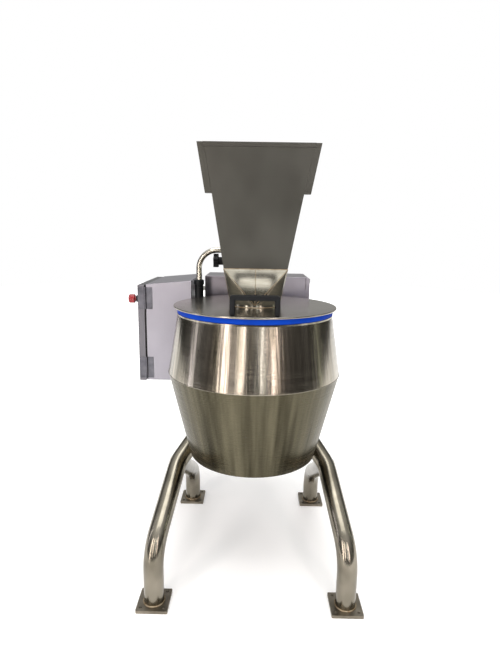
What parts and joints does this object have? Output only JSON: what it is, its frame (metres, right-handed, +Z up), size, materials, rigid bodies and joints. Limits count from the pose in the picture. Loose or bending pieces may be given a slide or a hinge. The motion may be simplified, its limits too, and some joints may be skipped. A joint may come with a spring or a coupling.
{
  "type": "hammer mill",
  "caption": "Upright hammer mill: tall square hopper on a swing-aside lid over a cone-sided drum with an open base, on bent tube legs, with a control box at its side.",
  "frame": {"origin": "on the floor, at the centre of the bounding box's base", "axes": "+Z up, +X to the machine's right seen from its front, +Y to its back"},
  "size_m": [1.029, 1.14, 1.71],
  "materials": {
    "leg_steel": "satin stainless tube",
    "foot_steel": "satin stainless plate",
    "drum_steel": "brushed stainless sheet",
    "gasket_blue": "blue silicone",
    "frame_steel": "mill finish stainless",
    "machined_steel": "turned steel",
    "hammer_steel": "hardened steel",
    "screen_steel": "slotted sheet",
    "cast_grey": "painted cast iron",
    "motor_paint": "blue-grey enamel",
    "belt_black": "black belt",
    "housing_steel": "brushed stainless sheet",
    "box_steel": "brushed stainless sheet",
    "hinge_steel": "satin stainless",
    "seal_black": "foam rubber",
    "panel_zinc": "galvanised plate",
    "device_grey": "moulded plastic",
    "black_plastic": "moulded nylon",
    "stop_red": "moulded plastic",
    "lid_steel": "polished stainless sheet",
    "neck_steel": "polished stainless sheet",
    "hopper_steel": "brushed stainless sheet",
    "arm_steel": "polished stainless"
  },
  "bodies": {
    "frame": {"leg_front_left": "leg_steel", "leg_front_right": "leg_steel", "leg_rear_left": "leg_steel", "leg_rear_right": "leg_steel", "foot_plates": "foot_steel", "drum_lower_shell": "drum_steel", "drum_upper_shell": "drum_steel", "drum_top_flange": "drum_steel", "lid_gasket": "gasket_blue", "mill_spider": "frame_steel", "mill_cover": "frame_steel", "belt_duct": "frame_steel", "belt_duct_cover": "frame_steel", "housing_mounts": "frame_steel", "box_brackets": "frame_steel", "post_ears": "frame_steel", "motor_plate": "frame_steel", "cover_studs": "machined_steel", "shaft_bearings": "machined_steel", "screen_ring": "screen_steel", "bearing_housing": "cast_grey", "motor_body": "motor_paint", "drive_belt": "belt_black", "housing_shell": "housing_steel", "housing_side_cover": "housing_steel", "housing_back_cover": "housing_steel", "control_box": "box_steel", "hinge_leaves_box": "hinge_steel", "control_panel_plate": "panel_zinc", "control_devices": "device_grey", "arm_bushing": "black_plastic", "cable_gland": "black_plastic"},
    "rotor": {"rotor_shaft": "machined_steel", "rotor_disc_lower": "machined_steel", "rotor_disc_upper": "machined_steel", "rotor_sleeve": "machined_steel", "rotor_cap_nut": "machined_steel", "hammer_pins": "machined_steel", "driven_pulley": "cast_grey"},
    "hammer_a": {"hammer_1": "hammer_steel"},
    "hammer_b": {"hammer_2": "hammer_steel"},
    "hammer_c": {"hammer_3": "hammer_steel"},
    "hammer_d": {"hammer_4": "hammer_steel"},
    "motor_rotor": {"motor_shaft": "machined_steel", "motor_pulley": "cast_grey"},
    "lift": {"swivel_head": "black_plastic"},
    "lid": {"arm_tube": "arm_steel", "arm_clamp": "arm_steel", "lid_plate": "lid_steel", "lid_handle": "black_plastic", "hopper_neck": "neck_steel", "hopper_body": "hopper_steel", "front_channels": "hopper_steel"},
    "knob": {"clamp_knob": "black_plastic"},
    "door": {"control_box_door": "box_steel", "door_seal": "seal_black", "hinge_leaves_door": "hinge_steel", "stop_collar": "black_plastic"},
    "latch": {"door_latch": "hinge_steel"},
    "stop": {"stop_button": "stop_red"}
  },
  "joints": [
    {"name": "rotor_spin", "type": "hinge", "parent": "frame", "child": "rotor", "pos_m": [0.0885, -0.132, 0.9], "axis": [0, 0, 1], "continuous": true},
    {"name": "motor_spin", "type": "hinge", "parent": "frame", "child": "motor_rotor", "pos_m": [0.0885, 0.395, 0.7], "axis": [0, 0, 1], "continuous": true},
    {"name": "hammer_swing_a", "type": "hinge", "parent": "rotor", "child": "hammer_a", "pos_m": [0.18749, -0.033, 0.93], "axis": [0, 0, 1], "range_deg": [-60, 60]},
    {"name": "hammer_swing_b", "type": "hinge", "parent": "rotor", "child": "hammer_b", "pos_m": [-0.0105, -0.033, 0.93], "axis": [0, 0, 1], "range_deg": [-60, 60]},
    {"name": "hammer_swing_c", "type": "hinge", "parent": "rotor", "child": "hammer_c", "pos_m": [-0.0105, -0.231, 0.93], "axis": [0, 0, 1], "range_deg": [-60, 60]},
    {"name": "hammer_swing_d", "type": "hinge", "parent": "rotor", "child": "hammer_d", "pos_m": [0.18749, -0.231, 0.93], "axis": [0, 0, 1], "range_deg": [-60, 60]},
    {"name": "arm_lift", "type": "slide", "parent": "frame", "child": "lift", "axis": [0, 0, 1], "range_m": [0, 0.04]},
    {"name": "arm_swing", "type": "hinge", "parent": "lift", "child": "lid", "pos_m": [-0.1745, 0.132, 1.1], "axis": [0, 0, 1], "range_deg": [-48, 0]},
    {"name": "knob_turn", "type": "hinge", "parent": "lid", "child": "knob", "pos_m": [-0.0835, 0.132, 1.272], "axis": [1, 0, 0], "range_deg": [-180, 180]},
    {"name": "door_swing", "type": "hinge", "parent": "frame", "child": "door", "pos_m": [-0.423, 0.103, 0.93], "axis": [0, 0, 1], "range_deg": [0, 95]},
    {"name": "latch_turn", "type": "hinge", "parent": "door", "child": "latch", "pos_m": [-0.4592, 0.523, 0.935], "axis": [1, 0, 0], "range_deg": [0, 90]},
    {"name": "stop_push", "type": "slide", "parent": "door", "child": "stop", "axis": [1, 0, 0], "range_m": [0, 0.005], "stiffness_N_per_m": 1200}
  ],
  "couplings": [
    {"joint": "motor_spin", "follows": "rotor_spin", "ratio": 1.3333}
  ]
}
